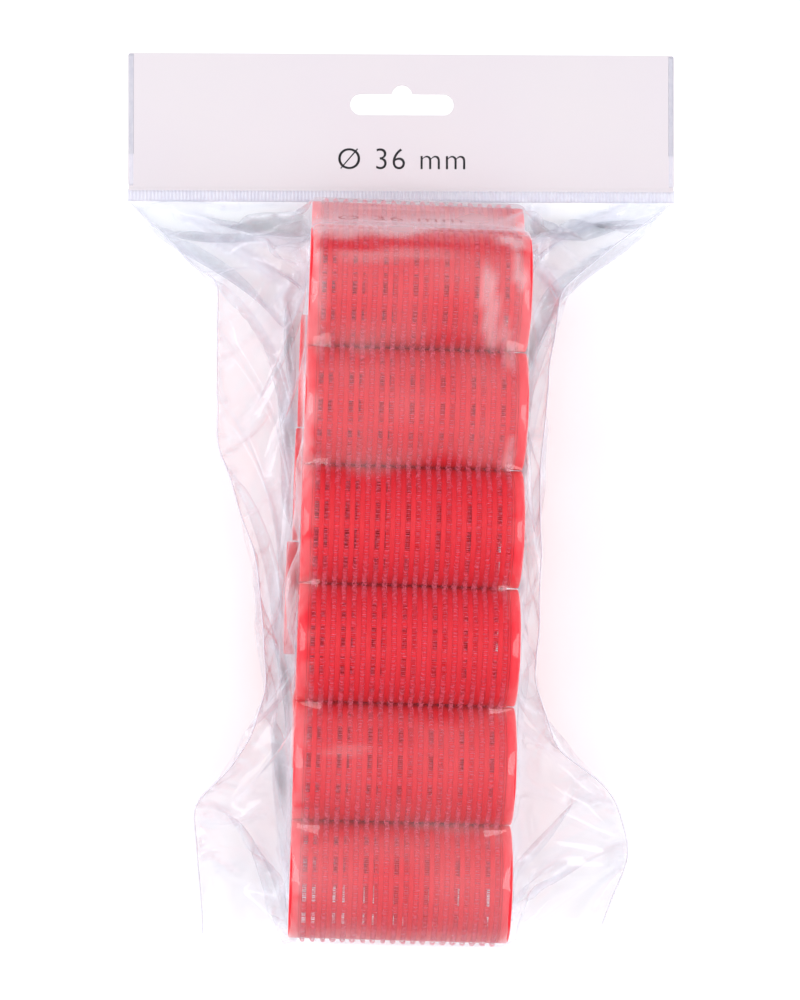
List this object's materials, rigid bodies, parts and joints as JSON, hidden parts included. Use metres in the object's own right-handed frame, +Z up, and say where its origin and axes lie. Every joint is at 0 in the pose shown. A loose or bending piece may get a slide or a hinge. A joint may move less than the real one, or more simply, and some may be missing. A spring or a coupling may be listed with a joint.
{
  "type": "hair roller pack",
  "caption": "Clear header bag holding two nested rows of red self-grip hair rollers: open mesh cores wrapped in hook tape.",
  "frame": {"origin": "middle of the pack's footprint on the surface it lies on", "axes": "+X along the rollers to the right, +Y up the pack to its header, +Z up, out of the pack's front"},
  "size_m": [0.168, 0.2754, 0.0698],
  "materials": {
    "core_plastic": "moulded, satin",
    "hook_tape": "woven nylon tape with standing hooks",
    "clear_film": "clear crinkled plastic film",
    "film_weld": "crimped and welded film, hazy",
    "header_film": "milky film, satin"
  },
  "bodies": {
    "bag": {"bag_back_film": "clear_film", "bag_front_film": "clear_film", "bag_left_weld": "film_weld", "bag_right_weld": "film_weld", "header_crimp_weld": "film_weld"},
    "header": {"header_back_panel": "header_film", "header_front_panel": "header_film"},
    "back_roller_1": {"back_roller_1_core": "core_plastic", "back_roller_1_hook_tape": "hook_tape"},
    "back_roller_2": {"back_roller_2_core": "core_plastic", "back_roller_2_hook_tape": "hook_tape"},
    "back_roller_3": {"back_roller_3_core": "core_plastic", "back_roller_3_hook_tape": "hook_tape"},
    "back_roller_4": {"back_roller_4_core": "core_plastic", "back_roller_4_hook_tape": "hook_tape"},
    "back_roller_5": {"back_roller_5_core": "core_plastic", "back_roller_5_hook_tape": "hook_tape"},
    "back_roller_6": {"back_roller_6_core": "core_plastic", "back_roller_6_hook_tape": "hook_tape"},
    "front_roller_1": {"front_roller_1_core": "core_plastic", "front_roller_1_hook_tape": "hook_tape"},
    "front_roller_2": {"front_roller_2_core": "core_plastic", "front_roller_2_hook_tape": "hook_tape"},
    "front_roller_3": {"front_roller_3_core": "core_plastic", "front_roller_3_hook_tape": "hook_tape"},
    "front_roller_4": {"front_roller_4_core": "core_plastic", "front_roller_4_hook_tape": "hook_tape"},
    "front_roller_5": {"front_roller_5_core": "core_plastic", "front_roller_5_hook_tape": "hook_tape"},
    "front_roller_6": {"front_roller_6_core": "core_plastic", "front_roller_6_hook_tape": "hook_tape"}
  },
  "joints": [
    {"name": "header_fold", "type": "hinge", "parent": "bag", "child": "header", "pos_m": [0, 0.09629, 0.00025], "axis": [1, 0, 0], "range_deg": [0, 95]},
    {"name": "back_roller_1_spin", "type": "hinge", "parent": "bag", "child": "back_roller_1", "pos_m": [0.00341, 0.0723, 0.0188], "axis": [0.9995, -0.0332, 0], "continuous": true},
    {"name": "back_roller_2_spin", "type": "hinge", "parent": "bag", "child": "back_roller_2", "pos_m": [-0.00002, 0.0383, 0.0188], "axis": [0.9995, -0.0332, 0], "continuous": true},
    {"name": "back_roller_3_spin", "type": "hinge", "parent": "bag", "child": "back_roller_3", "pos_m": [-0.00155, 0.00423, 0.0188], "axis": [0.9995, -0.0332, 0], "continuous": true},
    {"name": "back_roller_4_spin", "type": "hinge", "parent": "bag", "child": "back_roller_4", "pos_m": [-0.00418, -0.0298, 0.0188], "axis": [0.9995, -0.0332, 0], "continuous": true},
    {"name": "back_roller_5_spin", "type": "hinge", "parent": "bag", "child": "back_roller_5", "pos_m": [-0.00191, -0.064, 0.0188], "axis": [0.9995, -0.0332, 0], "continuous": true},
    {"name": "back_roller_6_spin", "type": "hinge", "parent": "bag", "child": "back_roller_6", "pos_m": [-0.00224, -0.09811, 0.0188], "axis": [0.9995, -0.0332, 0], "continuous": true},
    {"name": "front_roller_1_spin", "type": "hinge", "parent": "bag", "child": "front_roller_1", "pos_m": [0.00304, 0.06111, 0.05101], "axis": [0.9995, -0.0332, 0], "continuous": true},
    {"name": "front_roller_2_spin", "type": "hinge", "parent": "bag", "child": "front_roller_2", "pos_m": [0.00191, 0.02703, 0.05101], "axis": [0.9995, -0.0332, 0], "continuous": true},
    {"name": "front_roller_3_spin", "type": "hinge", "parent": "bag", "child": "front_roller_3", "pos_m": [0.00078, -0.00706, 0.05101], "axis": [0.9995, -0.0332, 0], "continuous": true},
    {"name": "front_roller_4_spin", "type": "hinge", "parent": "bag", "child": "front_roller_4", "pos_m": [-0.00035, -0.04114, 0.05101], "axis": [0.9995, -0.0332, 0], "continuous": true},
    {"name": "front_roller_5_spin", "type": "hinge", "parent": "bag", "child": "front_roller_5", "pos_m": [-0.00148, -0.07522, 0.05101], "axis": [0.9995, -0.0332, 0], "continuous": true},
    {"name": "front_roller_6_spin", "type": "hinge", "parent": "bag", "child": "front_roller_6", "pos_m": [-0.00261, -0.1093, 0.05101], "axis": [0.9995, -0.0332, 0], "continuous": true}
  ]
}
